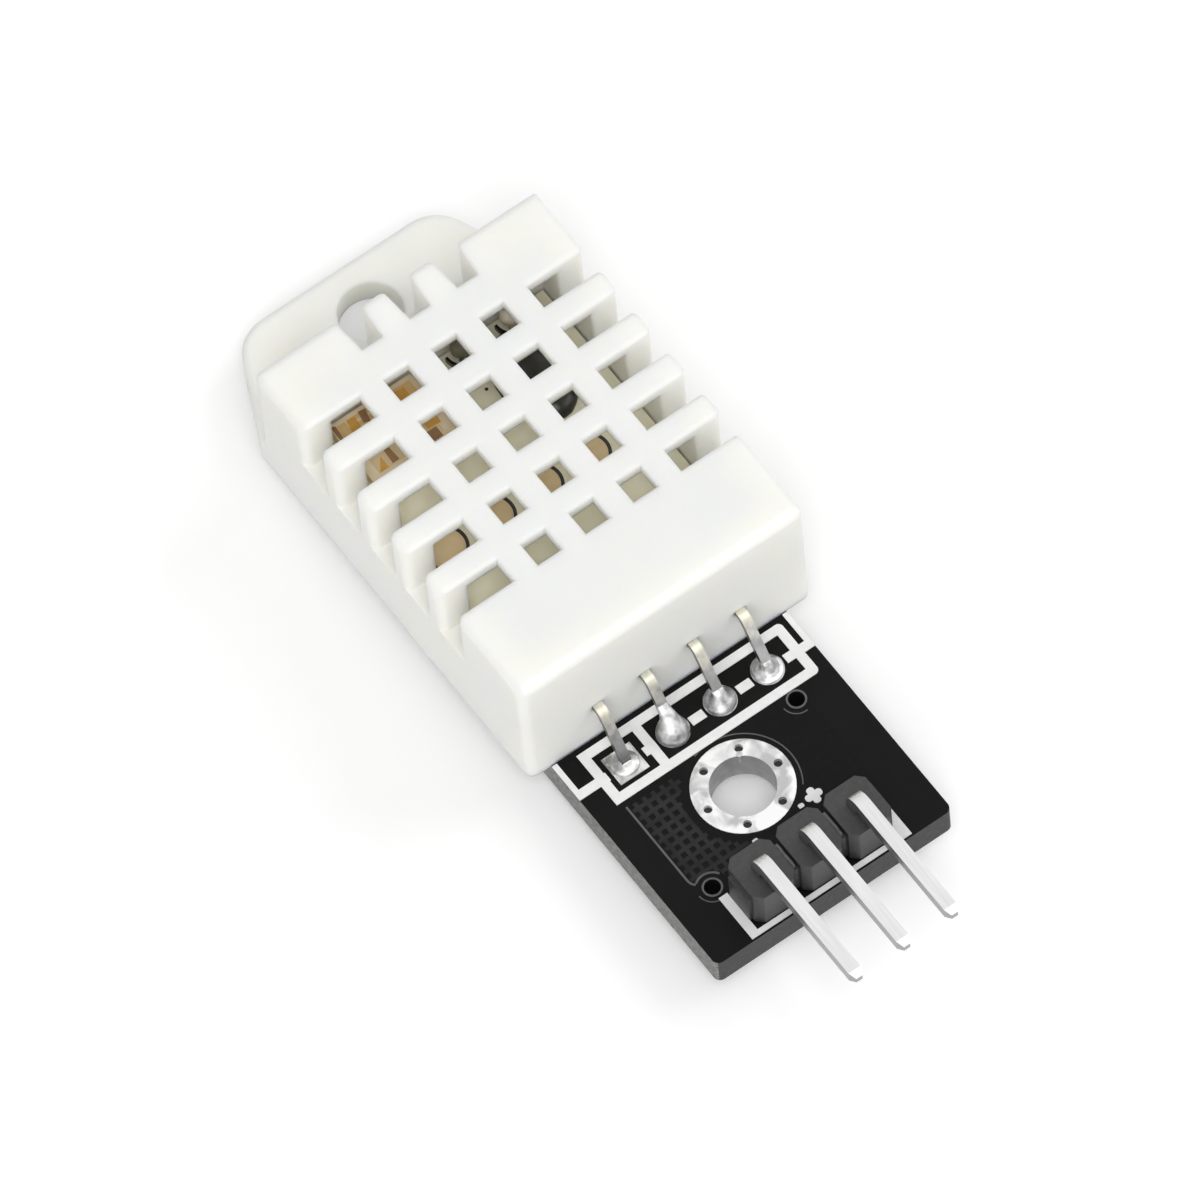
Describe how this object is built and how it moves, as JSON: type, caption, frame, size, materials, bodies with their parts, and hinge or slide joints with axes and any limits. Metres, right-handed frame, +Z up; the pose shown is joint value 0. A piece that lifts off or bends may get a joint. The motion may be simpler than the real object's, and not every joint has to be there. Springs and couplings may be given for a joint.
{
  "type": "temperature humidity sensor module",
  "caption": "Flat vented box sensor with a holed tab, soldered on a slim black carrier board with a ringed mounting hole and a right-angle pin header at its free end",
  "frame": {"origin": "on the axis of the carrier board's ringed mounting hole, at the underside of the board", "axes": "+Z up, out of the grille face; +Y along the module from the pin header to the tab; +X across the board, to the right when it is seen from above with the tab away from the viewer"},
  "size_m": [0.0151, 0.043, 0.0105],
  "materials": {
    "board": "black solder mask on glass-fibre laminate, satin",
    "copper": "tinned copper",
    "print": "white screen print",
    "shell": "white moulded plastic with a fine matt grain",
    "inner_board": "khaki laminate",
    "gold": "gold-plated copper",
    "element": "cream ceramic plate with a polymer film",
    "film": "brown polymer film",
    "black_resin": "black potting resin",
    "chip_ceramic": "tan ceramic with tinned ends",
    "chip_black": "black glazed ceramic with tinned ends",
    "pin": "tinned pin",
    "solder": "bright solder",
    "header": "black moulded plastic, satin"
  },
  "bodies": {
    "root": {"carrier_board": "board", "mounting_ring": "copper", "via_eyelets": "copper", "sensor_pads": "copper", "header_pads": "copper", "chip_pads": "copper", "board_print": "print", "back_shell": "shell", "front_cover": "shell", "inner_board": "inner_board", "inner_pads": "gold", "humidity_element": "element", "humidity_comb": "gold", "humidity_film": "film", "controller": "black_resin", "thermistor": "black_resin", "inner_capacitor": "black_resin", "sensor_pin_1": "pin", "sensor_pin_2": "pin", "sensor_pin_3": "pin", "sensor_pin_4": "pin", "sensor_solder_1": "solder", "sensor_solder_2": "solder", "sensor_solder_3": "solder", "sensor_solder_4": "solder", "header_housing": "header", "header_pin_1": "pin", "header_pin_2": "pin", "header_pin_3": "pin", "header_solder_1": "solder", "header_solder_2": "solder", "header_solder_3": "solder", "pull_up_resistor": "chip_black", "supply_capacitor": "chip_ceramic"}
  },
  "joints": []
}
